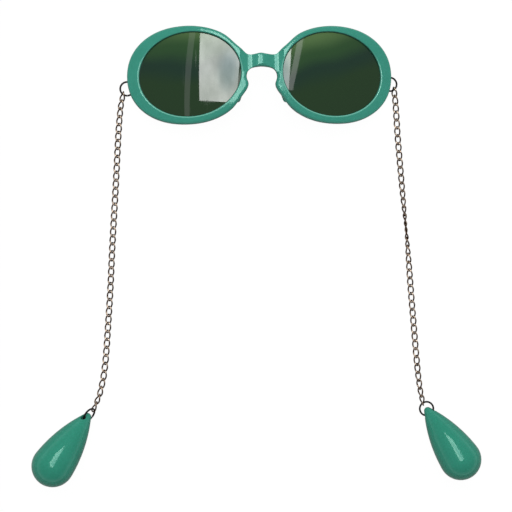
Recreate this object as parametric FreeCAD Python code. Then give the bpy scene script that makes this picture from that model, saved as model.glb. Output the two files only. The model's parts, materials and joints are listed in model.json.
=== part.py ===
"""Oval sunglasses worn on two curb chains, each ending in a solid teardrop counterweight.

The part lies on its back on a flat surface: +Z is the way the front looks, +Y is up on the
wearer's face and +X is the viewer's right. Lengths are in millimetres and angles in degrees.
The origin is the bottom centre of the whole part's box.
"""
import FreeCAD, Part
import math
import os
from FreeCAD import Placement, Rotation, Vector

# ---- Front: two oval eyes joined by a bridge, bent to a wide spherical curve ----
eye_width = 53.8            # lens opening, corner to corner
eye_height = 44.4
eye_gap = 22.4              # between the two openings, over the nose
eye_tilt = -6.0             # outer end of each opening hangs lower
rim_top = 3.75              # width of plastic round each opening
rim_bottom = 4.2
rim_nose = 3.3
rim_temple = 6.6
rim_power = 2.15            # 2 is an ellipse, more is squarer
rim_tilt = -0.7
rim_first = 146.0           # the part of the oval that bridge and nose leave free, as angles
rim_last = -154.0
rim_points = 20
front_thickness = 4.4
base_radius = 130.0         # mid-surface of lens and rim
face_wrap = 10.0            # each lens turns this far round the face
front_edge_radius = 1.7     # polished roll of the outer front edge
back_edge_radius = 0.9
opening_edge_radius = 1.0

# ---- Bridge and nose arch ----
bridge_top = 11.0           # crest of the bridge above the middle of the eyes
bridge_height = 7.2
bridge_dip = 0.75           # the upper edge falls this far on both sides of the crest
bridge_dip_place = 4.2
shoulder_foot = 0.65        # and is this far below it where the shoulder starts
shoulder_foot_place = 7.6
shoulder_rise = 1.9         # where the bridge runs up into the rim
shoulder_place = 10.4
arch_half_width = 8.0
arch_corner_radius = 5.2
arch_rise = 0.25            # from the corners of the arch to its middle
crest_radius = 12.0         # low upright crest on the face of the bridge
flute_radius = 11.0         # and a shallow flute on each side of it
flute_place = 7.0
flute_run_out = 0.06       # the flutes grow shallower downwards by this slope
relief_above = 1.0          # how far the relief passes the bridge
relief_below = 3.0
pad_corner_place = -4.7     # small moulded corner where the nose pad starts
pad_corner_half_gap = 7.3
nose_pad_length = 12.0      # moulded pads behind the rims, drop-shaped, the tip upwards
nose_pad_tip = 1.0
nose_pad_end = 1.6
nose_pad_flank = 60.0
nose_pad_splay = 21.0
nose_pad_x = 11.4           # middle of the pad
nose_pad_y = -9.3
nose_pad_stand = 0.6        # its axis stands this far behind the rim

# ---- Lens ----
lens_thickness = 2.0
groove_depth = 0.9          # the thinned edge sits this far inside the rim
tongue_thickness = 1.1

# ---- End pieces behind the temples: a rest pad and a drilled lug for the ring ----
lug_inset = 3.4             # hole to the outer edge of the rim
lug_drop = 4.9              # hole below the middle of the eye
lug_stagger = 1.05          # the left lug sits lower and the right one higher
lug_width = 3.3
lug_length = 2.9
lug_depth = 4.0             # flat end of lug and pad behind the rim
lug_hole_diameter = 1.7
lug_hole_height = 1.9       # hole above the flat end
rest_pad_gap = 1.0          # between the ring and the rest pad
rest_pad_length = 8.0
lug_edge_radius = 0.5

# ---- Jump rings ----
frame_ring_diameter = 8.4   # outside
drop_ring_diameter = 8.5
ring_wire = 1.0
ring_cut = 0.12             # butt joint of the bent wire
ring_play = 0.2             # outside of a ring to the far wall of its hole
ring_hook_angle = -46.0     # where the chain hangs on the frame ring

# ---- Curb chain ----
link_wire = 0.85
link_width = 3.6
link_pitch = 4.335
link_slack = 0.34           # play between two links
left_spacing = 4.298        # between the links as each chain lies
right_spacing = 4.345
link_twist = 47.0           # each end of a link turns this far from its middle
links_per_segment = 2
segments = 20
floor_gap = 0.045
start_roll = -43.0          # the first link stands across the wire of the ring
start_roll_links = 5        # links over which such a turn is taken up
end_roll_links = 5
half_turn_middle = 18       # the right chain lies with one half turn in it
half_turn_links = 20

# ---- Teardrop ----
drop_length = 44.5
bulb_radius = 11.3
tip_radius = 2.05
flank_radius = 75.0
drop_hole_place = 3.7       # from the tip
drop_hole_diameter = 2.8

# ---- How the two chains lie: outwards and upwards from where each hangs on its ring ----
left_route = [(1.4, -6.9), (2.4, -15.9), (3.7, -34.9), (5.2, -57.9), (7.0, -83.9),
              (8.2, -104.9), (10.0, -128.9), (11.4, -145.4), (13.4, -157.9), (15.5, -164.9),
              (20.6, -174.4)]
right_route = [(0.9, -9.0), (1.6, -22.0), (2.8, -39.0), (4.4, -61.0), (6.2, -83.0),
               (7.8, -107.0), (9.5, -130.0), (10.7, -148.0), (11.7, -161.5), (14.4, -176.5)]
left_drop_heading = 36.0    # from straight down towards the outside
right_drop_heading = 32.3
left_drop_roll = 58.0       # cross hole out of the level
right_drop_roll = 12.0
left_end_roll = -60.0       # last link across the wire of the ring
right_end_roll = 40.0
left_end_height = 5.9       # chain end where it reaches the ring of the drop
right_end_height = 3.9
climb_segments = 4
climb_power = 1.5

# ---- How finely things are worked out ----
surface_tolerance = 0.02    # an edge this close lies on a curved surface
edge_places = (0.2, 0.5, 0.8)
roll_samples = 120          # places round a link where its height is taken
route_halvings = 40         # steps that find where a segment ends on its route
heading_step = 1e-5

# ---- Worked out from the sizes above ----
eye_centre = (eye_gap + eye_width) / 2
rim_inner = eye_gap / 2 - rim_nose
rim_outer = eye_centre + eye_width / 2 + rim_temple
rim_centre = (rim_inner + rim_outer) / 2
rim_rise = (rim_top - rim_bottom) / 2
sphere_place = eye_centre - base_radius * math.sin(math.radians(face_wrap))
front_radius = base_radius + front_thickness / 2
back_radius = base_radius - front_thickness / 2
lug_place = rim_outer - lug_inset
lug_reach = math.hypot(lug_place - sphere_place, lug_drop)
sphere_height = lug_depth - math.sqrt(back_radius ** 2 - lug_reach ** 2)
link_half_width = (link_width - link_wire) / 2
link_half_length = (link_pitch + link_wire + link_slack) / 2
ring_to_link = ring_wire / 2 + link_slack / 2
up = Vector(0, 0, 1)


def turned(v, axis, angle):
    return Rotation(axis, angle).multVec(v)


def unit(v):
    return Vector(v).normalize()


# ---- Outlines ----
def oval_points(centre_x, centre_y, half_width, half_height, power, tilt, first, last, count):
    """Points of a squared ellipse, from one angle to another."""
    points = []
    for i in range(count):
        t = math.radians(first + (last - first) * i / (count - 1))
        x = half_width * math.copysign(abs(math.cos(t)) ** (2 / power), math.cos(t))
        y = half_height * math.copysign(abs(math.sin(t)) ** (2 / power), math.sin(t))
        p = turned(Vector(x, y, 0), up, tilt)
        points.append(p + Vector(centre_x, centre_y, 0))
    return points


def closed_curve(points):
    curve = Part.BSplineCurve()
    curve.interpolate(Points=points, PeriodicFlag=True)
    return Part.Wire(curve.toShape())


def eye_prism(margin):
    """The right eye's opening, widened by a margin, as a tall column."""
    ellipse = Part.Ellipse(Vector(0, 0, 0), eye_width / 2 + margin, eye_height / 2 + margin)
    outline = Part.Wire(ellipse.toShape())
    outline.Placement = Placement(Vector(eye_centre, 0, 0), Rotation(up, eye_tilt))
    column = Part.Face(outline).extrude(up * front_radius)
    column.translate(up * (sphere_height + back_radius / 2))
    return column


def front_outline():
    rim = oval_points(rim_centre, rim_rise, (rim_outer - rim_inner) / 2,
                      eye_height / 2 + (rim_top + rim_bottom) / 2, rim_power, rim_tilt,
                      rim_first, rim_last, rim_points)
    crown = bridge_top - bridge_height
    corner = arch_corner_radius * math.sqrt(0.5)
    corner_x = arch_half_width - arch_corner_radius
    corner_y = crown - arch_corner_radius
    right = [Vector(bridge_dip_place, bridge_top - bridge_dip, 0),
             Vector(shoulder_foot_place, bridge_top - shoulder_foot, 0),
             Vector(shoulder_place, bridge_top + shoulder_rise, 0)]
    right += rim
    right += [Vector(pad_corner_half_gap, pad_corner_place, 0),
              Vector(arch_half_width, corner_y - arch_corner_radius / 4, 0),
              Vector(corner_x + corner, corner_y + corner, 0),
              Vector(corner_x, crown - arch_rise, 0)]
    left = [Vector(-p.x, p.y, 0) for p in reversed(right)]
    return [Vector(0, bridge_top, 0)] + right + [Vector(0, crown, 0)] + left


# ---- Drop-shaped body, for the teardrops and the nose pads ----
def spindle_arcs(length, tip_size, end_size, flank_size):
    """Centres of the three tangent arcs of its profile: tip, flank and end."""
    tip = Vector(tip_size, 0, 0)
    end = Vector(length - end_size, 0, 0)
    span = end.x - tip.x
    from_tip = flank_size - tip_size
    from_end = flank_size - end_size
    along = (from_tip ** 2 - from_end ** 2 + span ** 2) / (2 * span)
    flank = Vector(tip.x + along, -math.sqrt(from_tip ** 2 - along ** 2), 0)
    return tip, flank, end


def spindle(length, tip_size, end_size, flank_size):
    """A solid of revolution along +X with its tip at the origin."""
    tip, flank, end = spindle_arcs(length, tip_size, end_size, flank_size)
    joint_1 = flank + unit(tip - flank) * flank_size
    joint_2 = flank + unit(end - flank) * flank_size
    nose = tip + unit(unit(joint_1 - tip) + Vector(-1, 0, 0)) * tip_size
    side = flank + unit(unit(joint_1 - flank) + unit(joint_2 - flank)) * flank_size
    heel = end + unit(unit(joint_2 - end) + Vector(1, 0, 0)) * end_size
    edges = [Part.Arc(Vector(0, 0, 0), nose, joint_1).toShape(),
             Part.Arc(joint_1, side, joint_2).toShape(),
             Part.Arc(joint_2, heel, Vector(length, 0, 0)).toShape(),
             Part.LineSegment(Vector(length, 0, 0), Vector(0, 0, 0)).toShape()]
    face = Part.Face(Part.Wire(edges))
    return face.revolve(Vector(0, 0, 0), Vector(1, 0, 0), 360)


# ---- Curved front ----
def capsule(radius):
    """Two spheres and the cylinder between them: the curve that the whole front follows."""
    left = Vector(-sphere_place, 0, sphere_height)
    right = Vector(sphere_place, 0, sphere_height)
    edges = [Part.Arc(left - Vector(radius, 0, 0),
                      left - Vector(radius, 0, radius) * math.sqrt(0.5),
                      left - Vector(0, 0, radius)).toShape(),
             Part.LineSegment(left - Vector(0, 0, radius), right - Vector(0, 0, radius)).toShape(),
             Part.Arc(right - Vector(0, 0, radius),
                      right + Vector(radius, 0, -radius) * math.sqrt(0.5),
                      right + Vector(radius, 0, 0)).toShape(),
             Part.LineSegment(right + Vector(radius, 0, 0), left - Vector(radius, 0, 0)).toShape()]
    face = Part.Face(Part.Wire(edges))
    return face.revolve(left, Vector(1, 0, 0), 360)


def capsule_reach(p):
    """How far a point is from the capsule's own axis."""
    x = max(abs(p.x) - sphere_place, 0)
    return math.sqrt(x ** 2 + p.y ** 2 + (p.z - sphere_height) ** 2)


def edges_at(shape, radius):
    """Edges of a shape that run along one curved surface of the front."""
    found = []
    for edge in shape.Edges:
        places = [edge.valueAt(edge.FirstParameter + f * (edge.LastParameter - edge.FirstParameter))
                  for f in edge_places]
        if all(abs(capsule_reach(p) - radius) < surface_tolerance for p in places):
            found.append(edge)
    return found


def on_wall(edge, wall):
    middle = edge.valueAt((edge.FirstParameter + edge.LastParameter) / 2)
    return wall.distToShape(Part.Vertex(middle))[0] < surface_tolerance


def rounded(shape, wall, radius, fillet):
    edges = [e for e in edges_at(shape, radius) if on_wall(e, wall)]
    return shape.makeFillet(fillet, edges)


def side_wall(column):
    return max(column.Faces, key=lambda face: face.Area)


def mirrored(shape):
    return shape.mirror(Vector(0, 0, 0), Vector(1, 0, 0))


def curved_plate(tongue):
    """The rims and bridge: outline, curve, rolled edges, openings and lens grooves."""
    prism = Part.Face(closed_curve(front_outline())).extrude(up * front_radius)
    prism.translate(up * (sphere_height + back_radius / 2))
    plate = prism.common(capsule(front_radius)).cut(capsule(back_radius))
    wall = side_wall(prism)
    plate = rounded(plate, wall, front_radius, front_edge_radius)
    plate = rounded(plate, wall, back_radius, back_edge_radius)
    for hole, groove in ((eye_prism(0), tongue), (mirrored(eye_prism(0)), mirrored(tongue))):
        plate = plate.cut(hole).cut(groove)
        wall = side_wall(hole)
        plate = rounded(plate, wall, front_radius, opening_edge_radius)
        plate = rounded(plate, wall, back_radius, opening_edge_radius)
    return plate


def bridge_relief():
    """Tool that shapes the face of the bridge: a low crest between two shallow flutes."""
    reach = crest_radius + flute_radius
    depth = reach - math.sqrt(reach ** 2 - flute_place ** 2)
    crest = Vector(0, 0, -crest_radius)
    flute = Vector(flute_place, 0, flute_radius - depth)
    meet = crest + (flute - crest) * (crest_radius / reach)
    end_x = flute_place + math.sqrt(flute_radius ** 2 - flute.z ** 2)
    bottom = Vector(flute_place, 0, -depth)
    end = Vector(end_x, 0, 0)
    left_meet, left_bottom, left_end = (Vector(-p.x, 0, p.z) for p in (meet, bottom, end))
    lift = Vector(0, 0, flute_radius)
    edges = [Part.Arc(left_end, left_bottom, left_meet).toShape(),
             Part.Arc(left_meet, Vector(0, 0, 0), meet).toShape(),
             Part.Arc(meet, bottom, end).toShape(),
             Part.LineSegment(end, end + lift).toShape(),
             Part.LineSegment(end + lift, left_end + lift).toShape(),
             Part.LineSegment(left_end + lift, left_end).toShape()]
    length = relief_above + bridge_height + relief_below
    tool = Part.Face(Part.Wire(edges)).extrude(Vector(0, -length, flute_run_out * length))
    top = sphere_height + math.sqrt(front_radius ** 2 - bridge_top ** 2)
    tool.translate(Vector(0, bridge_top + relief_above, top - flute_run_out * relief_above))
    return tool


def lug_middle(side):
    """Place of a side's lug along Y: -1 is the left side, 1 the right."""
    return side * lug_stagger - lug_drop


def rounded_post(x_low, x_high, y_low, y_high, top):
    """A post with rounded upright edges, from the resting plane up into the rim."""
    post = Part.makeBox(x_high - x_low, y_high - y_low, top, Vector(x_low, y_low, 0))
    upright = [e for e in post.Edges if abs(e.Vertexes[0].Z - e.Vertexes[1].Z) > top / 2]
    return post.makeFillet(lug_edge_radius, upright)


def end_pieces(side):
    """Behind one temple: the drilled lug, and the pad that rests on the surface."""
    top = lug_depth + front_thickness / 2
    low = side * lug_place - lug_width / 2
    high = side * lug_place + lug_width / 2
    middle = lug_middle(side)
    lug = rounded_post(low, high, middle - lug_length / 2, middle + lug_length / 2, top)
    pad_low = middle + frame_ring_diameter / 2 + rest_pad_gap
    pad = rounded_post(low, high, pad_low, pad_low + rest_pad_length, top)
    hole = Part.makeCylinder(lug_hole_diameter / 2, 2 * lug_length,
                             Vector(side * lug_place, middle - lug_length, lug_hole_height),
                             Vector(0, 1, 0))
    return lug.fuse(pad), hole


def nose_pad():
    """The moulded pad behind the right nose-side rim, half sunk in it."""
    pad = spindle(nose_pad_length, nose_pad_tip, nose_pad_end, nose_pad_flank)
    splay = math.radians(nose_pad_splay)
    down = Vector(math.sin(splay), -math.cos(splay), 0)
    back = sphere_height + math.sqrt(back_radius ** 2 - nose_pad_y ** 2)
    middle = Vector(nose_pad_x, nose_pad_y, back - nose_pad_stand)
    pad.Placement = Placement(middle - down * (nose_pad_length / 2),
                              Rotation(down, up, down.cross(up), "XYZ"))
    return pad


def ball(radius):
    """The sphere that a lens follows, turned so that its poles and seam are off the lens."""
    sphere = Part.makeSphere(radius)
    centre = Vector(sphere_place, 0, sphere_height)
    sphere.Placement = Placement(centre, Rotation(Vector(1, 0, 0), 90))
    return sphere


def lens_shell(thickness, margin):
    """A piece of spherical shell as wide as the right opening and a margin."""
    column = eye_prism(margin).common(ball(base_radius + thickness / 2))
    return column.cut(ball(base_radius - thickness / 2)).Solids[0]


def front_frame(tongue):
    frame = curved_plate(tongue).cut(bridge_relief())
    pad = nose_pad()
    frame = frame.fuse([pad, mirrored(pad)])
    for side in (-1, 1):
        posts, hole = end_pieces(side)
        frame = frame.fuse(posts).cut(hole)
    return frame.Solids[0]


# ---- Jump rings ----
def jump_ring(diameter, centre, normal, towards):
    """A bent wire ring whose butt joint lies the other way from its working point."""
    radius = (diameter - ring_wire) / 2
    cut_angle = math.degrees(ring_cut / radius)
    ring = Part.makeTorus(radius, ring_wire / 2, Vector(0, 0, 0), up, 0, 360, 360 - cut_angle)
    side = unit(towards.cross(normal))
    ring.Placement = Placement(centre, Rotation(side, normal.cross(side), normal, "ZXY"))
    return ring


# ---- Curb link: a twisted oval of eight tangent arcs ----
def link_point(t):
    turn = math.radians(link_twist) * math.sin(t)
    across = link_half_width * math.cos(t)
    return Vector(across * math.cos(turn), link_half_length * math.sin(t), across * math.sin(turn))


def link_heading(t):
    return unit(link_point(t + heading_step) - link_point(t - heading_step))


def arc_piece(start, heading, end):
    """A bent rod along the arc that leaves start in a given heading and reaches end."""
    chord = end - start
    axis = unit(heading.cross(chord))
    inward = axis.cross(heading)
    radius = chord.dot(chord) / (2 * chord.dot(inward))
    angle = math.degrees(2 * math.asin(chord.Length / (2 * radius)))
    section = Part.Face(Part.Wire(Part.makeCircle(link_wire / 2, start, heading)))
    return section.revolve(start + inward * radius, axis, angle), turned(heading, axis, angle)


def curb_link():
    pieces = []
    for quarter in range(4):
        t0 = quarter * math.pi / 2
        t1 = t0 + math.pi / 2
        p0, p1 = link_point(t0), link_point(t1)
        h0, h1 = link_heading(t0), link_heading(t1)
        chord = p1 - p0
        pull = chord.dot(h0 + h1)
        spread = 2 * (1 - h0.dot(h1))
        reach = (math.sqrt(pull ** 2 + spread * chord.dot(chord)) - pull) / spread
        middle = (p0 + h0 * reach + p1 - h1 * reach) * 0.5
        first, heading = arc_piece(p0, h0, middle)
        second, heading = arc_piece(middle, heading, p1)
        pieces += [first, second]
    return pieces[0].fuse(pieces[1:])


def link_clear_height(roll):
    """Height of a link's middle above the surface when it lies rolled by an angle."""
    highest = 0
    for i in range(roll_samples):
        t = 2 * math.pi * i / roll_samples
        turn = math.radians(link_twist * math.sin(t) + roll)
        highest = max(highest, abs(link_half_width * math.cos(t) * math.sin(turn)))
    return highest + link_wire / 2 + floor_gap


def smooth_step(x):
    x = min(max(x, 0), 1)
    return x * x * (3 - 2 * x)


def link_roll(number, half_turn, end_roll):
    """Roll of a link about the chain, counted from the frame."""
    last = segments * links_per_segment - 1
    roll = start_roll * max(1 - number / start_roll_links, 0)
    roll += end_roll * max(1 - (last - number) / end_roll_links, 0)
    if half_turn:
        roll += 180 * smooth_step((number - half_turn_middle) / half_turn_links + 0.5)
    return roll


def link_frame(heading, roll):
    """Across and upright directions of a link, seen along the chain."""
    level = unit(heading.cross(up))
    upright = level.cross(heading)
    return turned(level, heading, -roll), turned(upright, heading, -roll)


# ---- Teardrop ----
def teardrop():
    """The drop along +X with its tip at the origin and its cross hole along Y."""
    body = spindle(drop_length, tip_radius, bulb_radius, flank_radius)
    hole = Part.makeCylinder(drop_hole_diameter / 2, 2 * bulb_radius,
                             Vector(drop_hole_place, -bulb_radius, 0), Vector(0, 1, 0))
    return body.cut(hole).Solids[0]


def resting_tilt(body):
    """The drop lies on its flank with its weight over the contact: tilt and height of its hole."""
    flank = spindle_arcs(drop_length, tip_radius, bulb_radius, flank_radius)[1]
    tilt = math.atan((flank.x - body.CenterOfMass.x) / -flank.y)
    height = flank_radius + flank.y * math.cos(tilt)
    height += (drop_hole_place - flank.x) * math.sin(tilt)
    return tilt, height


# ---- One side: ring, chain, ring, drop ----
def frame_ring_place(side):
    """Centre, outward direction and normal of a frame ring, and where the chain starts."""
    radius = (frame_ring_diameter - ring_wire) / 2
    hole = Vector(side * lug_place, lug_middle(side), lug_hole_height)
    hook = math.radians(ring_hook_angle)
    reach = (frame_ring_diameter - lug_hole_diameter) / 2 + ring_play
    fall = (lug_hole_height - link_clear_height(start_roll)) / (reach + radius * math.cos(hook))
    outward = Vector(side * math.sqrt(1 - fall ** 2), 0, -fall)
    centre = hole + outward * reach
    radial = outward * math.cos(hook) + Vector(0, 1, 0) * math.sin(hook)
    start = centre + radial * (radius - ring_to_link)
    return centre, outward, outward.cross(Vector(0, 1, 0)), start


def chain_joints(side, route, spacing):
    """Where the segments meet: stepped along the route at one segment's length."""
    start = frame_ring_place(side)[-1]
    curve = Part.BSplineCurve()
    foot = Vector(start.x, start.y, 0)
    points = [foot] + [foot + Vector(side * x, y, 0) for x, y in route]
    curve.interpolate(points)
    length = spacing * links_per_segment
    joints = [start]
    at = curve.FirstParameter
    here = points[0]
    for i in range(1, segments + 1):
        ends = (at, curve.LastParameter)
        for halving in range(route_halvings):
            middle = sum(ends) / 2
            inside = (curve.value(middle) - here).Length < length
            ends = (middle, ends[1]) if inside else (ends[0], middle)
        at = ends[0]
        here = here + unit(curve.value(at) - here) * length
        joints.append(Vector(here))
    return joints


def lay_chain(side, route, spacing, half_turn, end_roll, end_height):
    """Links of one chain as (centre, heading, roll), and the joints between its segments."""
    joints = chain_joints(side, route, spacing)
    first_climb = segments - climb_segments
    for k in range(1, segments + 1):
        first = (k - 1) * links_per_segment
        last = min((k + 1) * links_per_segment, segments * links_per_segment)
        height = max(link_clear_height(link_roll(number, half_turn, end_roll))
                     for number in range(first, last))
        lift = max(k - first_climb, 0) / climb_segments
        joints[k].z = height + (end_height - height) * lift ** climb_power
    links = []
    for k in range(segments):
        step = joints[k + 1] - joints[k]
        for j in range(links_per_segment):
            number = k * links_per_segment + j
            centre = joints[k] + step * ((j + 0.5) / links_per_segment)
            links.append((centre, unit(step), link_roll(number, half_turn, end_roll)))
    return links, joints


def place_drop(side, joint, heading_in, drop_heading, drop_roll, tilt, hole_height):
    """Where the drop and its ring lie when the chain ends at a joint."""
    radius = (drop_ring_diameter - ring_wire) / 2
    hook = joint - heading_in * ring_to_link
    level = turned(Vector(0, -1, 0), up, side * drop_heading)
    axis = level * math.cos(tilt) + up * math.sin(tilt)
    across = unit(level.cross(up))
    hole_axis = turned(across, axis, side * drop_roll)
    swing_way = hole_axis.cross(axis)
    reach = radius + (drop_ring_diameter - drop_hole_diameter) / 2 + ring_play
    rise = (hole_height - hook.z) / reach
    lean = math.atan2(swing_way.z, axis.z)
    swing = lean - math.copysign(1, lean) * math.acos(rise / math.hypot(axis.z, swing_way.z))
    ring_way = axis * math.cos(swing) + swing_way * math.sin(swing)
    hole = hook + ring_way * reach
    ring_centre = hook + ring_way * radius
    return hole, axis, hole_axis, ring_centre, ring_way


def main():
    os.makedirs("parts", exist_ok=True)
    shapes = {}
    tongue = lens_shell(tongue_thickness, groove_depth)
    right_lens = tongue.fuse(lens_shell(lens_thickness, 0)).Solids[0]
    shapes["front_frame"] = front_frame(tongue)
    shapes["lens_right"] = right_lens
    shapes["lens_left"] = mirrored(right_lens)

    link = curb_link()
    drop = teardrop()
    tilt, hole_height = resting_tilt(drop)
    laid = {"left": (left_route, left_spacing, False, left_end_roll, left_end_height),
            "right": (right_route, right_spacing, True, right_end_roll, right_end_height)}
    drops = {"left": (left_drop_heading, left_drop_roll),
             "right": (right_drop_heading, right_drop_roll)}
    for side, name in ((-1, "left"), (1, "right")):
        centre, outward, normal, start = frame_ring_place(side)
        shapes["frame_ring_" + name] = jump_ring(frame_ring_diameter, centre, normal, outward)
        links, joints = lay_chain(side, *laid[name])
        for k in range(segments):
            solids = []
            for at, along, turn in links[k * links_per_segment:(k + 1) * links_per_segment]:
                across, upright = link_frame(along, turn)
                solid = link.copy()
                solid.Placement = Placement(at, Rotation(across, along, upright, "ZXY"))
                solids.append(solid)
            shapes["chain_%s_%02d" % (name, k + 1)] = Part.makeCompound(solids)
        hole, axis, hole_axis, ring_centre, ring_way = place_drop(
            side, joints[-1], links[-1][1], *drops[name], tilt, hole_height)
        shapes["drop_ring_" + name] = jump_ring(drop_ring_diameter, ring_centre,
                                                ring_way.cross(hole_axis), ring_way)
        body = drop.copy()
        body.Placement = Placement(hole - axis * drop_hole_place,
                                   Rotation(axis, hole_axis, axis.cross(hole_axis), "XYZ"))
        shapes["drop_" + name] = body

    box = FreeCAD.BoundBox()
    for shape in shapes.values():
        box.add(shape.optimalBoundingBox(False, False))
    shift = Vector(-box.Center.x, -box.Center.y, -box.ZMin)
    for name, shape in shapes.items():
        shape.translate(shift)
        shape.exportStep("parts/%s.step" % name)


main()
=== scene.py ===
"""Oval sunglasses worn on two curb chains, each ending in a teardrop counterweight."""
import json
import math

import bmesh
import bpy
import numpy as np
from mathutils import Matrix, Vector


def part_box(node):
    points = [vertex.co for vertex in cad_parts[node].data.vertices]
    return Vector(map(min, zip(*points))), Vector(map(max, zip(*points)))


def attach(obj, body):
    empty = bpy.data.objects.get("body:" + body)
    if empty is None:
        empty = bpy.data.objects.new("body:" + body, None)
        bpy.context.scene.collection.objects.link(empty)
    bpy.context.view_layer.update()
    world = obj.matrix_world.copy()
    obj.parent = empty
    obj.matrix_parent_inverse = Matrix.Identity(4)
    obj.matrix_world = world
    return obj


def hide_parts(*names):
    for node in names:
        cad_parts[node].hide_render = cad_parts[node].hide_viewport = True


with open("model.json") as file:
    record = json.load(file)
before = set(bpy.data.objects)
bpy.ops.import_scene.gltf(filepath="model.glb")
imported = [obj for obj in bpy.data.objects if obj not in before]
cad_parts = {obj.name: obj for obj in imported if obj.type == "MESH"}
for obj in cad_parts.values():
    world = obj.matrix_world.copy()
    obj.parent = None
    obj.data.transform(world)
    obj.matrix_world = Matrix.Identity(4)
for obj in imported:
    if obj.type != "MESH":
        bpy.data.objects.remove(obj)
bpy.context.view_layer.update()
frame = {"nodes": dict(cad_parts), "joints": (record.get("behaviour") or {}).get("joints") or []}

# ---- Sizes, in metres ----
MM = 0.001
BASE_RADIUS = 130.0 * MM        # curve of the lenses and of the front
FACE_WRAP = math.radians(10.0)  # how far each eye turns away from straight ahead
EYE_CENTRE = 38.1 * MM
EYE_HALF_WIDTH = 26.9 * MM
EYE_HALF_HEIGHT = 22.2 * MM
EYE_TILT = math.radians(6.0)
BRIDGE_TOP = 11.0 * MM          # the low crest and the two flutes on the face of the bridge
CREST_RADIUS = 12.0 * MM
FLUTE_RADIUS = 11.0 * MM
FLUTE_PLACE = 7.0 * MM
FLUTE_RUN_OUT = 0.06            # slope at which the flutes grow shallower downwards
FRONT_THICKNESS = 4.4 * MM
LENS_THICKNESS = 2.0 * MM
LINK_WIRE = 0.82 * MM           # a hair under the solids, so that links at their limits stay clear
LINK_HALF_WIDTH = 1.375 * MM
LINK_HALF_LENGTH = 2.7625 * MM
LINK_TWIST = math.radians(47.0)
RING_WIRE = 1.0 * MM
RING_RADIUS = {"frame": 3.7 * MM, "drop": 3.75 * MM}
DROP_LENGTH = 44.5 * MM
DROP_TIP = 2.05 * MM
DROP_BULB = 11.3 * MM
DROP_FLANK = 75.0 * MM
DROP_HOLE_PLACE = 3.7 * MM
JOINED = 1e-7                   # corner points closer than this are one
ON_SURFACE = 0.03 * MM          # a corner point this close to a true surface lies on it
ON_RELIEF = 0.02 * MM
FACING = 0.94                   # cosine within which a facet follows a true surface

# ---- Where the front lies ----
lens_boxes = [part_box("lens_left"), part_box("lens_right")]
middle_x = (lens_boxes[0][0].x + lens_boxes[1][1].x) / 2
middle_y = (lens_boxes[1][0].y + lens_boxes[1][1].y) / 2
front_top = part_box("front_frame")[1].z
sphere_x = EYE_CENTRE - BASE_RADIUS * math.sin(FACE_WRAP)
sphere_z = front_top - BASE_RADIUS - FRONT_THICKNESS / 2
joints = {j["name"]: j for j in frame["joints"]}


# ---- Node helpers ----
def add(tree, kind, at=(0, 0), **settings):
    node = tree.nodes.new(kind)
    node.location = at
    for key, value in settings.items():
        setattr(node, key, value)
    return node


def wire(tree, source, target):
    tree.links.new(source, target)


def math_node(tree, operation, first, second=None, at=(0, 0)):
    """A Math node whose inputs are sockets or numbers."""
    node = add(tree, "ShaderNodeMath", at, operation=operation)
    for socket, value in zip(node.inputs, (first, second)):
        if hasattr(value, "is_linked"):
            wire(tree, value, socket)
        elif value is not None:
            socket.default_value = value
    return node.outputs[0]


def mix_colour(tree, factor, first, second, at=(0, 0)):
    node = add(tree, "ShaderNodeMix", at, data_type="RGBA")
    for socket, value in ((node.inputs[0], factor), (node.inputs[6], first),
                          (node.inputs[7], second)):
        if hasattr(value, "is_linked"):
            wire(tree, value, socket)
        else:
            socket.default_value = value
    return node.outputs[2]


def remap(tree, value, source, target=(0.0, 1.0), at=(0, 0), smooth=False):
    """A value taken from one range to another and held inside it."""
    node = add(tree, "ShaderNodeMapRange", at,
               interpolation_type="SMOOTHSTEP" if smooth else "LINEAR")
    for name, number in zip(("From Min", "From Max", "To Min", "To Max"), (*source, *target)):
        node.inputs[name].default_value = number
    wire(tree, value, node.inputs["Value"])
    return node.outputs[0]


def noise(tree, place, scale, detail, at=(0, 0), distortion=0.0):
    """Noise at a number of waves per metre; the scale may be a socket."""
    node = add(tree, "ShaderNodeTexNoise", at)
    if hasattr(scale, "is_linked"):
        wire(tree, scale, node.inputs["Scale"])
    else:
        node.inputs["Scale"].default_value = scale
    node.inputs["Detail"].default_value = detail
    node.inputs["Distortion"].default_value = distortion
    wire(tree, place, node.inputs["Vector"])
    return node.outputs[0]


def bump(tree, height, strength, distance, shader, at=(-300, -350)):
    node = add(tree, "ShaderNodeBump", at)
    node.inputs["Strength"].default_value = strength
    node.inputs["Distance"].default_value = distance
    wire(tree, height, node.inputs["Height"])
    wire(tree, node.outputs[0], shader.inputs["Normal"])


def linear(r, g, b):
    """A colour given as 0 to 255 on screen."""
    parts = []
    for value in (r, g, b):
        v = value / 255
        parts.append(v / 12.92 if v <= 0.04045 else ((v + 0.055) / 1.055) ** 2.4)
    return (*parts, 1.0)


# ---- Shader groups ----
def group_sockets(group, inputs, outputs):
    """Gives a group its sockets and returns its two end nodes."""
    for name, kind, value in inputs:
        socket = group.interface.new_socket(name, in_out="INPUT", socket_type=kind)
        if value is not None:
            socket.default_value = value
    for name, kind in outputs:
        group.interface.new_socket(name, in_out="OUTPUT", socket_type=kind)
    return (add(group, "NodeGroupInput", (-900, 0)), add(group, "NodeGroupOutput", (700, 0)))


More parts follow.
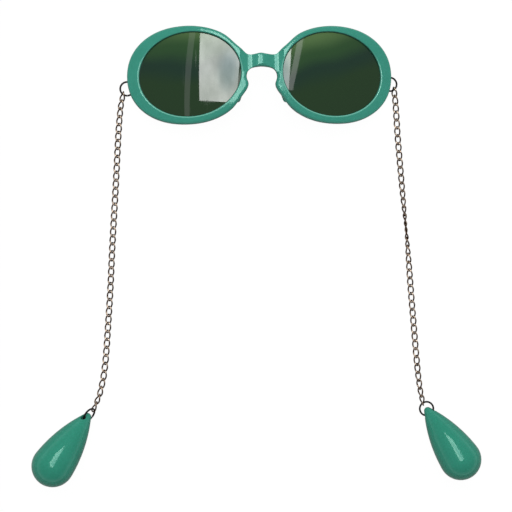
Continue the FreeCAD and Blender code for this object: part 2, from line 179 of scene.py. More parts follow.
def handling_wear():
    """Hairline scratches and smudges that handling leaves on a polished surface."""
    group = bpy.data.node_groups.new("handling_wear", "ShaderNodeTree")
    given, out = group_sockets(
        group,
        [("Base Roughness", "NodeSocketFloat", 0.1), ("Smudge", "NodeSocketFloat", 0.06),
         ("Scratch Scale", "NodeSocketFloat", 900.0), ("Scratch", "NodeSocketFloat", 0.04)],
        [("Roughness", "NodeSocketFloat"), ("Height", "NodeSocketFloat")])
    place = add(group, "ShaderNodeTexCoord", (-900, 300)).outputs["Object"]
    smudge = noise(group, place, 70.0, 3.0, (-650, 200))
    patch = remap(group, smudge, (0.42, 0.72), at=(-450, 200))
    stretch = add(group, "ShaderNodeMapping", (-650, -100))
    stretch.inputs["Rotation"].default_value = (0.3, 0.2, 0.7)
    stretch.inputs["Scale"].default_value = (1.0, 0.04, 0.3)
    wire(group, place, stretch.inputs["Vector"])
    hair = noise(group, stretch.outputs[0], given.outputs["Scratch Scale"], 1.0, (-450, -100))
    line = remap(group, hair, (0.66, 0.72), at=(-250, -100))
    dull = math_node(group, "MULTIPLY", patch, given.outputs["Smudge"], (-200, 200))
    mark = math_node(group, "MULTIPLY", line, given.outputs["Scratch"], (0, -100))
    total = math_node(group, "ADD", dull, mark, (100, 150))
    rough = math_node(group, "ADD", total, given.outputs["Base Roughness"], (300, 150))
    wire(group, rough, out.inputs["Roughness"])
    wire(group, line, out.inputs["Height"])
    return group


def cast_plastic_colour():
    """Soft clouds and a finer mottle in a cast plastic."""
    group = bpy.data.node_groups.new("cast_plastic_colour", "ShaderNodeTree")
    given, out = group_sockets(
        group,
        [("Body", "NodeSocketColor", (0.05, 0.3, 0.22, 1)),
         ("Cloud", "NodeSocketColor", (0.07, 0.36, 0.27, 1)),
         ("Depth", "NodeSocketColor", (0.04, 0.24, 0.18, 1)),
         ("Cloud Scale", "NodeSocketFloat", 45.0)],
        [("Color", "NodeSocketColor")])
    place = add(group, "ShaderNodeTexCoord", (-900, 300)).outputs["Object"]
    cloud = noise(group, place, given.outputs["Cloud Scale"], 2.0, (-650, 200), 0.8)
    spread = remap(group, cloud, (0.35, 0.65), at=(-450, 200))
    fine = noise(group, place, 420.0, 3.0, (-650, -100))
    grain = remap(group, fine, (0.4, 0.8), (0.0, 0.35), (-450, -100))
    body = mix_colour(group, spread, given.outputs["Body"], given.outputs["Cloud"], (-200, 200))
    full = mix_colour(group, grain, body, given.outputs["Depth"], (50, 100))
    wire(group, full, out.inputs["Color"])
    return group


def eye_distance():
    """1 on the edge of either lens opening, less inside it and more on the rim."""
    group = bpy.data.node_groups.new("eye_distance", "ShaderNodeTree")
    given, out = group_sockets(group, [], [("Reach", "NodeSocketFloat")])
    place = add(group, "ShaderNodeTexCoord", (-900, 0))
    split = add(group, "ShaderNodeSeparateXYZ", (-750, 0))
    wire(group, place.outputs["Object"], split.inputs[0])
    aside = math_node(group, "SUBTRACT", split.outputs["X"], middle_x, (-600, 100))
    away = math_node(group, "ABSOLUTE", aside, None, (-450, 100))
    x = math_node(group, "SUBTRACT", away, EYE_CENTRE, (-300, 100))
    y = math_node(group, "SUBTRACT", split.outputs["Y"], middle_y, (-300, -100))
    point = add(group, "ShaderNodeCombineXYZ", (-150, 0))
    wire(group, x, point.inputs["X"])
    wire(group, y, point.inputs["Y"])
    c, s = math.cos(EYE_TILT), math.sin(EYE_TILT)
    squares = []
    for way in ((c / EYE_HALF_WIDTH, -s / EYE_HALF_WIDTH, 0),
                (s / EYE_HALF_HEIGHT, c / EYE_HALF_HEIGHT, 0)):
        along = add(group, "ShaderNodeVectorMath", (50, 0), operation="DOT_PRODUCT")
        wire(group, point.outputs[0], along.inputs[0])
        along.inputs[1].default_value = way
        squares.append(math_node(group, "POWER", math_node(
            group, "ABSOLUTE", along.outputs["Value"]), 2.0, (250, 0)))
    total = math_node(group, "ADD", squares[0], squares[1], (400, 0))
    wire(group, math_node(group, "SQRT", total, None, (550, 0)), out.inputs["Reach"])
    return group


WEAR = handling_wear()
CLOUDS = cast_plastic_colour()
REACH = eye_distance()


def new_material(name):
    material = bpy.data.materials.new(name)
    material.use_nodes = True
    return material, material.node_tree, material.node_tree.nodes["Principled BSDF"]


def place_wear(tree, shader, base, smudge, scratch, depth):
    """Gives a polished surface its roughness and hairline relief."""
    wear = add(tree, "ShaderNodeGroup", (-600, -200), node_tree=WEAR)
    for name, value in (("Base Roughness", base), ("Smudge", smudge), ("Scratch", scratch)):
        wear.inputs[name].default_value = value
    wire(tree, wear.outputs["Roughness"], shader.inputs["Roughness"])
    bump(tree, wear.outputs["Height"], depth, 0.02 * MM, shader)


def painted_lens_edge_light(tree, tone):
    """Painted shade where the rim meets a lens, wider above, and a painted highlight beside it
    below.
    """
    reach = add(tree, "ShaderNodeGroup", (-1100, 500), node_tree=REACH).outputs[0]
    place = add(tree, "ShaderNodeTexCoord", (-1300, 700))
    split = add(tree, "ShaderNodeSeparateXYZ", (-1100, 700))
    wire(tree, place.outputs["Object"], split.inputs[0])
    # 1 towards the top of the eyes: the painted shade line widens there, and the painted highlight
    #                                keeps to the lower part
    upper = remap(tree, split.outputs["Y"], (middle_y + 2 * MM, middle_y + 16 * MM),
                  at=(-900, 700), smooth=True)
    lower = math_node(tree, "SUBTRACT", 1.0, upper, (-700, 800))
    # Painted highlight: a pale band just outside each lens opening, on its lower part only
    rise = remap(tree, reach, HIGHLIGHT_BAND_FROM, at=(-700, 500), smooth=True)
    fall = remap(tree, reach, HIGHLIGHT_BAND_TO, (1.0, 0.0), (-700, 650), True)
    painted_highlight = math_node(tree, "MULTIPLY", math_node(tree, "MULTIPLY", rise, fall),
                       math_node(tree, "MULTIPLY", lower, 0.5))
    tone = mix_colour(tree, painted_highlight, tone, PAINTED_HIGHLIGHT_JADE, (-400, 300))
    # Painted shade: a dark line where the rim meets each lens, wider at the top
    shade_widening = math_node(tree, "MULTIPLY", upper, SHADE_WIDER_ABOVE, (-800, 600))
    painted_shade_line = remap(tree, math_node(tree, "ADD", reach, shade_widening, (-850, 400)), SHADE_LINE_REACH,
                 (0.9, 0.0), (-700, 350), True)
    return mix_colour(tree, painted_shade_line, tone, PAINTED_SHADE_JADE, (-200, 300))


def jade_plastic(name, body, cloud, depth, cloud_scale, gloss, painted_lens_edges=False):
    """Slightly translucent cast plastic; the one that carries the lenses gets painted shade round
    each opening and a painted highlight below it.
    """
    material, tree, shader = new_material(name)
    colour = add(tree, "ShaderNodeGroup", (-600, 200), node_tree=CLOUDS)
    for socket, value in (("Body", body), ("Cloud", cloud), ("Depth", depth),
                          ("Cloud Scale", cloud_scale)):
        colour.inputs[socket].default_value = value
    # The lens-carrying frame gets painted shade and a painted highlight round its openings
    tone = painted_lens_edge_light(tree, colour.outputs[0]) if painted_lens_edges else colour.outputs[0]
    wire(tree, tone, shader.inputs["Base Color"])
    place_wear(tree, shader, 0.07, 0.04, 0.02, 0.004)
    for socket, value in (("IOR", 1.49), ("Specular IOR Level", gloss),
                          ("Specular Tint", (0.62, 1.0, 0.90, 1)), ("Subsurface Weight", 0.12),
                          ("Subsurface Radius", (0.3, 1.0, 0.7)),
                          ("Subsurface Scale", 1.5 * MM)):
        shader.inputs[socket].default_value = value
    return material


def lens_tint_and_painted_reflection():
    """Dark green tint with a painted reflection of the room: paler towards the top and a little
    bluer just below that.
    """
    material, tree, shader = new_material("lens_tint_and_painted_reflection")
    place = add(tree, "ShaderNodeTexCoord", (-1400, 200)).outputs["Object"]
    warp = noise(tree, place, 28.0, 1.0, (-1200, 0))
    split = add(tree, "ShaderNodeSeparateXYZ", (-1200, 200))
    wire(tree, place, split.inputs[0])
    sway = math_node(tree, "MULTIPLY", warp, 12 * MM, (-1000, 0))
    level = math_node(tree, "ADD", split.outputs["Y"], sway, (-900, 200))
    # The painted reflection's bands slant across each lens and are shifted on the left lens
    slant = remap(tree, split.outputs["X"], (middle_x + 11 * MM, middle_x + 65 * MM),
                  (10 * MM, -12 * MM), (-1000, 400))
    other = math_node(tree, "LESS_THAN", split.outputs["X"], middle_x, (-1000, 600))
    lower = math_node(tree, "MULTIPLY", other, -12 * MM, (-850, 600))
    level = math_node(tree, "ADD", math_node(tree, "ADD", level, slant), lower)
    # 0 low on a lens, 1 at the top; the ramp turns this into the tint and the painted reflection
    painted_reflection_fade = remap(tree, level, (middle_y - 14 * MM, middle_y + 32 * MM), at=(-700, 200))
    ramp = add(tree, "ShaderNodeValToRGB", (-500, 200))
    ramp.color_ramp.interpolation = "EASE"
    stops = ramp.color_ramp.elements
    stops[0].position, stops[0].color = TINT_AND_REFLECTION_STOPS[0]
    stops[1].position, stops[1].color = TINT_AND_REFLECTION_STOPS[-1]
    for position, colour in TINT_AND_REFLECTION_STOPS[1:-1]:
        stops.new(position).color = colour
    wire(tree, painted_reflection_fade, ramp.inputs[0])
    wire(tree, ramp.outputs[0], shader.inputs["Base Color"])
    place_wear(tree, shader, 0.02, 0.03, 0.05, 0.08)
    shader.inputs["IOR"].default_value = 1.50
    shader.inputs["Specular IOR Level"].default_value = 0.74
    return material


def antique_chain():
    """Dark antiqued metal, worn bright on the raised sides of each link; the brightening also
    serves as a painted highlight.
    """
    material, tree, shader = new_material("antique_chain_metal")
    raised = add(tree, "ShaderNodeAttribute", (-1100, 300), attribute_name="raised")
    place = add(tree, "ShaderNodeTexCoord", (-1100, 0)).outputs["Object"]
    patch = noise(tree, place, 700.0, 3.0, (-900, 0))
    shifted = math_node(tree, "ADD", raised.outputs["Fac"], patch, (-700, 200))
    # Wear and painted highlight: brighter where the wire stands farthest off the link's middle
    # plane
    wear_and_sheen = remap(tree, shifted, (0.80, 1.30), at=(-500, 200), smooth=True)
    tone = mix_colour(tree, patch, linear(46, 34, 28), linear(88, 62, 44), (-500, -50))
    colour = mix_colour(tree, wear_and_sheen, tone, linear(216, 190, 168), (-250, 200))
    wire(tree, colour, shader.inputs["Base Color"])
    rough = remap(tree, wear_and_sheen, (0.0, 1.0), (0.50, 0.26), (-250, -100))
    wire(tree, rough, shader.inputs["Roughness"])
    bump(tree, patch, 0.25, 0.04 * MM, shader)
    shader.inputs["Metallic"].default_value = 1.0
    return material


def gunmetal_ring():
    """Dark plated wire with faint blotches."""
    material, tree, shader = new_material("gunmetal_ring")
    place = add(tree, "ShaderNodeTexCoord", (-900, 0)).outputs["Object"]
    patch = noise(tree, place, 500.0, 4.0, (-700, 0))
    colour = mix_colour(tree, patch, linear(20, 18, 20), linear(54, 50, 50), (-400, 100))
    wire(tree, colour, shader.inputs["Base Color"])
    rough = remap(tree, patch, (0.0, 1.0), (0.28, 0.48), (-400, -150))
    wire(tree, rough, shader.inputs["Roughness"])
    shader.inputs["Metallic"].default_value = 1.0
    return material


# Shares of the distance from the middle of an eye to the edge of its opening
# Painted shade line round each lens: where it fades out, and how much wider it is at the top
SHADE_LINE_REACH = (1.003, 1.016)
SHADE_WIDER_ABOVE = -0.014
# Painted highlight band below each lens: where it rises and where it fades
HIGHLIGHT_BAND_FROM = (1.012, 1.024)
HIGHLIGHT_BAND_TO = (1.030, 1.046)
# Colours of the painted shade line and of the painted highlight band
PAINTED_SHADE_JADE = (0.002, 0.030, 0.018, 1)
PAINTED_HIGHLIGHT_JADE = (0.30, 0.66, 0.55, 1)
# Stops of the lens tint and its painted reflection: dark tint, a bluer band, then paler towards
# the top
TINT_AND_REFLECTION_STOPS = ((0.30, (0.008, 0.036, 0.008, 1)), (0.52, (0.003, 0.028, 0.014, 1)),
              (0.72, (0.016, 0.062, 0.016, 1)), (1.0, (0.085, 0.165, 0.052, 1)))
FRAME_PLASTIC = jade_plastic("jade_frame_plastic", (0.042, 0.285, 0.212, 1),
                             (0.048, 0.304, 0.228, 1), (0.034, 0.250, 0.184, 1), 40.0, 0.60, True)
DROP_PLASTIC = jade_plastic("jade_drop_plastic", (0.030, 0.256, 0.176, 1),
                            (0.034, 0.272, 0.190, 1), (0.022, 0.222, 0.150, 1), 60.0, 0.42)
LENS_TINT_AND_REFLECTION = lens_tint_and_painted_reflection()
CHAIN_METAL = antique_chain()
RING_METAL = gunmetal_ring()


# ---- Polished copies of the rigid pieces, with the true normals of their curved faces ----
def merged_copy(node, name, material):
    """A smooth copy of a solid, in one material, with its corner points joined."""
    mesh = bpy.data.meshes.new(name)
    work = bmesh.new()
    work.from_mesh(frame["nodes"][node].data)
    bmesh.ops.remove_doubles(work, verts=work.verts, dist=JOINED)
    work.to_mesh(mesh)
    work.free()
    mesh.materials.clear()
    mesh.materials.append(material)
    mesh.polygons.foreach_set("material_index", [0] * len(mesh.polygons))
    mesh.polygons.foreach_set("use_smooth", [True] * len(mesh.polygons))
    piece = bpy.data.objects.new(name, mesh)
    bpy.context.scene.collection.objects.link(piece)
    return piece


def polish(piece, surfaces, crease=30.0):
    """Corner normals: a true surface's own where a corner lies on it, else blended to a crease."""
    mesh = piece.data
    mesh.set_sharp_from_angle(angle=math.radians(crease))
    normals = [Vector(corner.vector) for corner in mesh.corner_normals]
    for surface in surfaces:
        at_vertex = [surface(v.co) for v in mesh.vertices]
        for face in mesh.polygons:
            for corner, i in zip(face.loop_indices, face.vertices):
                n = at_vertex[i]
                if n is not None and abs(n.dot(face.normal)) > FACING:
                    normals[corner] = n if n.dot(face.normal) > 0 else -n
    mesh.normals_split_custom_set(normals)


def bridge_normal(p):
    """Normal on the crest or the flutes of the bridge, circles drawn out along a slight slope."""
    radius = BASE_RADIUS + FRONT_THICKNESS / 2
    fall = middle_y + BRIDGE_TOP - p.y
    height = p.z - sphere_z - math.sqrt(radius ** 2 - BRIDGE_TOP ** 2) - FLUTE_RUN_OUT * fall
    reach = CREST_RADIUS + FLUTE_RADIUS
    flute_z = FLUTE_RADIUS - reach + math.sqrt(reach ** 2 - FLUTE_PLACE ** 2)
    for x, z, size in ((0, -CREST_RADIUS, CREST_RADIUS), (-FLUTE_PLACE, flute_z, FLUTE_RADIUS),
                       (FLUTE_PLACE, flute_z, FLUTE_RADIUS)):
        away = Vector((p.x - middle_x - x, height - z))
        if abs(away.length - size) < ON_RELIEF:
            return Vector((away.x, FLUTE_RUN_OUT * away.y, away.y)).normalized()
    return None


def lens_normal(side):
    """Normal on the two faces of a lens, parts of spheres about one centre."""
    centre = Vector((middle_x + side * sphere_x, middle_y, sphere_z))

    def normal(p):
        away = p - centre
        faces = (BASE_RADIUS + LENS_THICKNESS / 2, BASE_RADIUS - LENS_THICKNESS / 2)
        return away.normalized() if any(abs(away.length - r) < ON_SURFACE for r in faces) else None
    return normal


def capsule_normal(radius):
    """Normal on two spheres and the cylinder between them."""
    def normal(p):
        x = p.x - middle_x
        beyond = math.copysign(max(abs(x) - sphere_x, 0), x)
        away = Vector((beyond, p.y - middle_y, p.z - sphere_z))
        return away.normalized() if abs(away.length - radius) < ON_SURFACE else None
    return normal


def drop_normal(tip, axis):
    """Normal on the three tangent arcs of the teardrop."""
    span = DROP_LENGTH - DROP_BULB - DROP_TIP
    from_tip = DROP_FLANK - DROP_TIP
    from_bulb = DROP_FLANK - DROP_BULB
    along = (from_tip ** 2 - from_bulb ** 2 + span ** 2) / (2 * span)
    flank = Vector((DROP_TIP + along, -math.sqrt(from_tip ** 2 - along ** 2)))

    def normal(p):
        offset = p - tip
        a = offset.dot(axis)
        across = offset - axis * a
        r = across.length
        out = across.normalized() if r > 1e-9 else across
        for centre, radius in ((Vector((DROP_TIP, 0)), DROP_TIP), (flank, DROP_FLANK),
                               (Vector((DROP_LENGTH - DROP_BULB, 0)), DROP_BULB)):
            away = Vector((a, r)) - centre
            if abs(away.length - radius) < ON_SURFACE:
                away.normalize()
                return axis * away.x + out * away.y
        return None
    return normal


def ring_normal(centre, axis, radius):
    """Normal on the round wire of a ring."""
    def normal(p):
        offset = p - centre
        flat = offset - axis * offset.dot(axis)
        away = p - centre - flat.normalized() * radius
        return away.normalized() if abs(away.length - RING_WIRE / 2) < ON_SURFACE else None
    return normal


def settle(piece, body, slot, *nodes):
    """Puts a piece on its body, in the place of its solids, which it hides; the slot it is given
    is not used.
    """
    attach(piece, body)
    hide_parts(*nodes)


def centroid(mesh):
    """Centre of the enclosed volume."""
    total = 0.0
    moment = Vector()
    for face in mesh.polygons:
        a, b, c = (mesh.vertices[i].co for i in face.vertices)
        volume = a.dot(b.cross(c))
        total += volume
        moment += (a + b + c) * (volume / 4)
    return moment / total


front = merged_copy("front_frame", "sunglass_front", FRAME_PLASTIC)
polish(front, [capsule_normal(BASE_RADIUS + FRONT_THICKNESS / 2),
               capsule_normal(BASE_RADIUS - FRONT_THICKNESS / 2), bridge_normal])
settle(front, "front", "frame_plastic", "front_frame")

for side, sign in (("left", -1), ("right", 1)):
    lens = merged_copy("lens_" + side, "sun_lens_" + side, LENS_TINT_AND_REFLECTION)
    polish(lens, [lens_normal(sign)])
    settle(lens, "front", "lens_tint", "lens_" + side)

    drop = merged_copy("drop_" + side, "teardrop_" + side, DROP_PLASTIC)
    hole = Vector(joints["drop_swing_" + side]["pos_m"])
    axis = (centroid(drop.data) - hole).normalized()
    polish(drop, [drop_normal(hole - axis * DROP_HOLE_PLACE, axis)])
    settle(drop, "drop_" + side, "drop_plastic", "drop_" + side)

    for place in ("frame", "drop"):
        node = "%s_ring_%s" % (place, side)
        ring = merged_copy(node, "jump_" + node, RING_METAL)
        low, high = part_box(node)
        points = np.array([v.co for v in ring.data.vertices])
        spread = np.linalg.svd(points - points.mean(axis=0))[2]
        polish(ring, [ring_normal((low + high) / 2, Vector(spread[2]), RING_RADIUS[place])])
        settle(ring, node, "ring_metal", node)


# ---- Curb chain ----
def curb_link_tree():
    """Twisted wire links set on points; each point carries the way its link lies."""
    tree = bpy.data.node_groups.new("curb_links", "GeometryNodeTree")
    face = tree.interface
    face.new_socket("Geometry", in_out="INPUT", socket_type="NodeSocketGeometry")
    face.new_socket("Geometry", in_out="OUTPUT", socket_type="NodeSocketGeometry")
    for name, kind, value in (("Wire Diameter", "NodeSocketFloat", LINK_WIRE),
                              ("Half Width", "NodeSocketFloat", LINK_HALF_WIDTH),
                              ("Half Length", "NodeSocketFloat", LINK_HALF_LENGTH),
                              ("Twist", "NodeSocketFloat", LINK_TWIST),
                              ("Steps Round Link", "NodeSocketInt", 40),
                              ("Steps Round Wire", "NodeSocketInt", 10),
                              ("Metal", "NodeSocketMaterial", None)):
        socket = face.new_socket(name, in_out="INPUT", socket_type=kind)
        if value is not None:
            socket.default_value = value
    given = add(tree, "NodeGroupInput", (-1600, 0))
    out = add(tree, "NodeGroupOutput", (1400, 0))

    loop = add(tree, "GeometryNodeCurvePrimitiveCircle", (-1300, 300))
    wire(tree, given.outputs["Steps Round Link"], loop.inputs["Resolution"])
    part = add(tree, "GeometryNodeSplineParameter", (-1600, -300))
    turn = math_node(tree, "MULTIPLY", part.outputs["Factor"], 2 * math.pi, (-1400, -300))
    sine = math_node(tree, "SINE", turn, None, (-1200, -250))
    cosine = math_node(tree, "COSINE", turn, None, (-1200, -400))
    twist = math_node(tree, "MULTIPLY", sine, given.outputs["Twist"], (-1000, -250))
    across = math_node(tree, "MULTIPLY", cosine, given.outputs["Half Width"], (-1000, -400))
    x = math_node(tree, "MULTIPLY", across, math_node(tree, "COSINE", twist), (-700, -250))
    y = math_node(tree, "MULTIPLY", sine, given.outputs["Half Length"], (-700, -400))
    z = math_node(tree, "MULTIPLY", across, math_node(tree, "SINE", twist), (-700, -550))
    point = add(tree, "ShaderNodeCombineXYZ", (-500, -300))
    for socket, value in zip(point.inputs, (x, y, z)):
        wire(tree, value, socket)
    bent = add(tree, "GeometryNodeSetPosition", (-900, 300))
    wire(tree, loop.outputs[0], bent.inputs["Geometry"])
    wire(tree, point.outputs[0], bent.inputs["Position"])

    section = add(tree, "GeometryNodeCurvePrimitiveCircle", (-900, 100))
    wire(tree, given.outputs["Steps Round Wire"], section.inputs["Resolution"])
    wire(tree, math_node(tree, "MULTIPLY", given.outputs["Wire Diameter"], 0.5),
         section.inputs["Radius"])
    swept = add(tree, "GeometryNodeCurveToMesh", (-600, 300))
    wire(tree, bent.outputs[0], swept.inputs["Curve"])
    wire(tree, section.outputs[0], swept.inputs["Profile Curve"])

    place = add(tree, "GeometryNodeInputPosition", (-600, 0))
    split = add(tree, "ShaderNodeSeparateXYZ", (-400, 0))
    wire(tree, place.outputs[0], split.inputs[0])
    height = math_node(tree, "ABSOLUTE", split.outputs["Z"], None, (-200, 0))
    level = math_node(tree, "DIVIDE", height, given.outputs["Half Width"], (0, 0))
    # How far each point stands off the link's middle plane; the chain metal paints wear and a
    # painted highlight where it is large
    marked = add(tree, "GeometryNodeStoreNamedAttribute", (0, 300), data_type="FLOAT",
                 domain="POINT")
    marked.inputs["Name"].default_value = "raised"
    wire(tree, swept.outputs[0], marked.inputs["Geometry"])
    wire(tree, level, marked.inputs["Value"])

    lie = add(tree, "GeometryNodeInputNamedAttribute", (0, -200), data_type="FLOAT_VECTOR")
    lie.inputs["Name"].default_value = "lie"
    turned = add(tree, "FunctionNodeEulerToRotation", (200, -200))
    wire(tree, lie.outputs[0], turned.inputs[0])
    laid = add(tree, "GeometryNodeInstanceOnPoints", (400, 200))
    wire(tree, given.outputs["Geometry"], laid.inputs["Points"])
    wire(tree, marked.outputs[0], laid.inputs["Instance"])
    wire(tree, turned.outputs[0], laid.inputs["Rotation"])
    real = add(tree, "GeometryNodeRealizeInstances", (650, 200))
    wire(tree, laid.outputs[0], real.inputs[0])
    smooth = add(tree, "GeometryNodeSetShadeSmooth", (850, 200))
    wire(tree, real.outputs[0], smooth.inputs["Geometry"])
    dressed = add(tree, "GeometryNodeSetMaterial", (1100, 200))
    wire(tree, smooth.outputs[0], dressed.inputs["Geometry"])
    wire(tree, given.outputs["Metal"], dressed.inputs["Material"])
    wire(tree, dressed.outputs[0], out.inputs[0])
    return tree


LINK_TREE = curb_link_tree()


def link_pose(faces):
    """Centre and turn of a link, from the way its surface is spread."""
    cloud = np.array([face.calc_center_median() for face in faces])
    area = np.array([face.calc_area() for face in faces])
    centre = np.average(cloud, axis=0, weights=area)
    axes = np.linalg.eigh(np.cov((cloud - centre).T, aweights=area))[1]
    across, along = Vector(axes[:, 1]), Vector(axes[:, 2])
    turn = Matrix((across, along, across.cross(along))).transposed()
    return Vector(centre), turn.to_euler()


def link_poses(node):
    """Where each separate link of a node lies."""
    work = bmesh.new()
    work.from_mesh(frame["nodes"][node].data)
    bmesh.ops.remove_doubles(work, verts=work.verts, dist=JOINED)
    seen = set()
    poses = []
    for first in work.verts:
        if first in seen:
            continue
        seen.add(first)
        stack = [first]
        faces = {}
        while stack:
            vertex = stack.pop()
            faces.update(dict.fromkeys(vertex.link_faces))
            for edge in vertex.link_edges:
                other = edge.other_vert(vertex)
                if other not in seen:
                    seen.add(other)
                    stack.append(other)
        poses.append(link_pose(faces))
    work.free()
    return poses


def chain_piece(name, node):
    """The two links of a node as smooth twisted loops."""
    poses = link_poses(node)
    mesh = bpy.data.meshes.new(name)
    mesh.from_pydata([centre for centre, turn in poses], [], [])
    lie = mesh.attributes.new("lie", "FLOAT_VECTOR", "POINT")
    lie.data.foreach_set("vector", [c for centre, turn in poses for c in turn])
    piece = bpy.data.objects.new(name, mesh)
    bpy.context.scene.collection.objects.link(piece)
    modifier = piece.modifiers.new("links", "NODES")
    modifier.node_group = LINK_TREE
    for item in LINK_TREE.interface.items_tree:
        if item.in_out == "INPUT" and item.name == "Metal":
            modifier[item.identifier] = CHAIN_METAL
    evaluated = piece.evaluated_get(bpy.context.evaluated_depsgraph_get())
    result = bpy.data.meshes.new_from_object(evaluated)
    piece.modifiers.remove(modifier)
    piece.data = result
    settle(piece, node, "chain_metal", node)


for side in ("left", "right"):
    for number in range(1, 21):
        node = "chain_%s_%02d" % (side, number)
        chain_piece("curb_" + node, node)


# ---- Floor, light and camera ----
def mix_shader(tree, factor, first, second, at):
    node = add(tree, "ShaderNodeMixShader", at)
    for socket, source in zip(node.inputs, (factor, first.outputs[0], second.outputs[0])):
        wire(tree, source, socket)
    return node


def stage_floor():
    """Pale ground that shows the camera little but its own white and the part's shadow."""
    mesh = bpy.data.meshes.new("pale_floor")
    half = 3.0
    corners = [(-half, -half, 0), (half, -half, 0), (half, half, 0), (-half, half, 0)]
    mesh.from_pydata(corners, [], [(0, 1, 2, 3)])
    floor = bpy.data.objects.new("pale_floor", mesh)
    bpy.context.scene.collection.objects.link(floor)
    floor.location.z = -0.1 * MM
    material, tree, shader = new_material("pale_floor")
    shader.inputs["Base Color"].default_value = (0.45, 0.45, 0.45, 1)
    shader.inputs["Roughness"].default_value = 0.9
    shader.inputs["Specular IOR Level"].default_value = 0.0
    glow = add(tree, "ShaderNodeEmission", (0, -300))
    glow.inputs["Strength"].default_value = 1.06
    path = add(tree, "ShaderNodeLightPath", (-400, 500))
    share = math_node(tree, "MULTIPLY", path.outputs["Is Camera Ray"], 0.92, (-200, 500))
    both = mix_shader(tree, share, shader, glow, (300, 0))
    wire(tree, both.outputs[0], tree.nodes["Material Output"].inputs[0])
    mesh.materials.append(material)


WINDOW_TILT = math.radians(16.0)        # how far the windows lean from the zenith
WINDOW_DISTANCE = 1.5                   # from the middle of the front to the plane of the windows
FRONT_MIDDLE = Vector((middle_x, middle_y, front_top))


def strip_of_light(name, low, high, radiance, lean=0.0):
    """An upright light on the window plane, between two corners given on that plane."""
    forward = Vector((0, math.sin(WINDOW_TILT), math.cos(WINDOW_TILT)))
    sideways = Vector((math.cos(lean), 0, 0))
    rise = Vector((0, math.cos(WINDOW_TILT), -math.sin(WINDOW_TILT)))
    across = (sideways + rise * math.sin(lean)).normalized()
    along = forward.cross(across)
    width, height = high[0] - low[0], high[1] - low[1]
    data = bpy.data.lights.new(name, "AREA")
    data.shape = "RECTANGLE"
    data.size = width
    data.size_y = height
    data.energy = radiance * math.pi * width * height
    lamp = bpy.data.objects.new(name, data)
    bpy.context.scene.collection.objects.link(lamp)
    centre = FRONT_MIDDLE + forward * WINDOW_DISTANCE
    centre += Vector((1, 0, 0)) * ((low[0] + high[0]) / 2) + rise * ((low[1] + high[1]) / 2)
    turn = Matrix((across, along, forward)).transposed().to_4x4()
    lamp.matrix_world = Matrix.Translation(centre) @ turn
    return data


def clouded(data, scale):
    """Soft clouds across a light, greyer right of its middle."""
    data.use_nodes = True
    tree = data.node_tree
    glow = tree.nodes["Emission"]
    place = add(tree, "ShaderNodeNewGeometry", (-1200, 200))
    spot = place.outputs["Parametric"]
    level = remap(tree, noise(tree, spot, scale, 4.0, (-900, 200)), (0.38, 0.66), (0.74, 1.04),
                  (-700, 200))
    away = add(tree, "ShaderNodeVectorMath", (-900, -100), operation="DISTANCE")
    wire(tree, spot, away.inputs[0])
    away.inputs[1].default_value = (0.75, 0.45, 0)
    grey = remap(tree, away.outputs["Value"], (0.0, 0.48), (0.66, 1.0), (-700, -100), True)
    wire(tree, math_node(tree, "MULTIPLY", level, grey), glow.inputs["Strength"])
    clear = remap(tree, away.outputs["Value"], (0.05, 0.40), at=(-700, -300), smooth=True)
    wire(tree, mix_colour(tree, clear, (0.82, 0.96, 1.0, 1), (0.97, 1.0, 0.96, 1), (-400, -300)),
         glow.inputs["Color"])


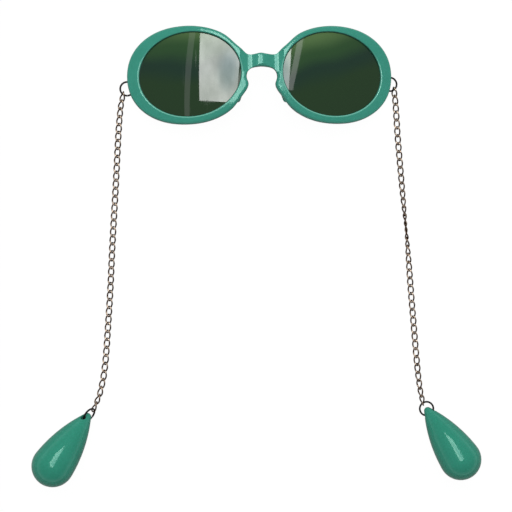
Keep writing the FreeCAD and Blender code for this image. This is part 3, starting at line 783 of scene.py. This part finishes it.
def studio():
    """Window, two strips, and a pale room that the camera sees as plain white."""
    clouded(strip_of_light("broad_window", (-0.388, -0.63), (0.165, 0.42), 8.8,
                           math.radians(-4.0)), 2.4)
    strip_of_light("left_strip", (-0.615, -0.90), (-0.525, 0.42), 0.62, math.radians(-9.0))
    strip_of_light("right_strip", (0.20, -0.46), (0.28, 0.30), 1.7, math.radians(-12.0))

    world = bpy.data.worlds.new("studio")
    world.use_nodes = True
    tree = world.node_tree
    way = add(tree, "ShaderNodeTexCoord", (-1000, -200))
    split = add(tree, "ShaderNodeSeparateXYZ", (-800, -200))
    wire(tree, way.outputs["Generated"], split.inputs[0])
    from_above = remap(tree, split.outputs["Y"], (-1.0, 1.0), (0.10, 0.80), (-600, 100))
    overhead = remap(tree, split.outputs["Z"], (0.05, 0.55), (1.0, 0.28), (-600, -200), True)
    fill = tree.nodes["Background"]
    room = add(tree, "ShaderNodeBackground", (-200, -200))
    plain = add(tree, "ShaderNodeBackground", (0, -350))
    for light, strength in ((fill, from_above), (room, overhead)):
        wire(tree, strength, light.inputs["Strength"])
    for light in (fill, room, plain):
        light.inputs["Color"].default_value = (1, 1, 1, 1)
    path = add(tree, "ShaderNodeLightPath", (-1000, 300))
    glossy = math_node(tree, "MAXIMUM", path.outputs["Is Glossy Ray"],
                       path.outputs["Is Transmission Ray"], (-800, 300))
    lit = mix_shader(tree, glossy, fill, room, (100, 0))
    shown = mix_shader(tree, path.outputs["Is Camera Ray"], lit, plain, (300, 0))
    wire(tree, shown.outputs[0], tree.nodes["World Output"].inputs[0])
    bpy.context.scene.world = world
    bpy.context.scene.view_settings.view_transform = "Standard"


def camera():
    """Almost straight above, leaning a little from the left."""
    aim = Vector((middle_x, middle_y, 0)) + CAMERA_AIM
    forward = Vector((math.sin(CAMERA_LEAN), 0, -math.cos(CAMERA_LEAN)))
    right = Vector((math.cos(CAMERA_LEAN), 0, math.sin(CAMERA_LEAN)))
    above = Vector((0, 1, 0))
    across = right * math.cos(CAMERA_ROLL) + above * math.sin(CAMERA_ROLL)
    upward = above * math.cos(CAMERA_ROLL) - right * math.sin(CAMERA_ROLL)
    data = bpy.data.cameras.new("camera")
    data.sensor_width = 36.0
    data.lens = FOCAL_LENGTH
    view = bpy.data.objects.new("camera", data)
    bpy.context.scene.collection.objects.link(view)
    turn = Matrix((across, upward, -forward)).transposed().to_4x4()
    view.matrix_world = Matrix.Translation(aim - forward * CAMERA_DISTANCE) @ turn
    bpy.context.scene.camera = view


CAMERA_LEAN = math.radians(4.49)
CAMERA_ROLL = math.radians(-0.73)
CAMERA_AIM = Vector((-3.01 * MM, -97.0 * MM, 0))        # from the middle of the eyes
CAMERA_DISTANCE = 0.700
FOCAL_LENGTH = 90.309375                # in millimetres, on a sensor 36 wide
stage_floor()
studio()
camera()
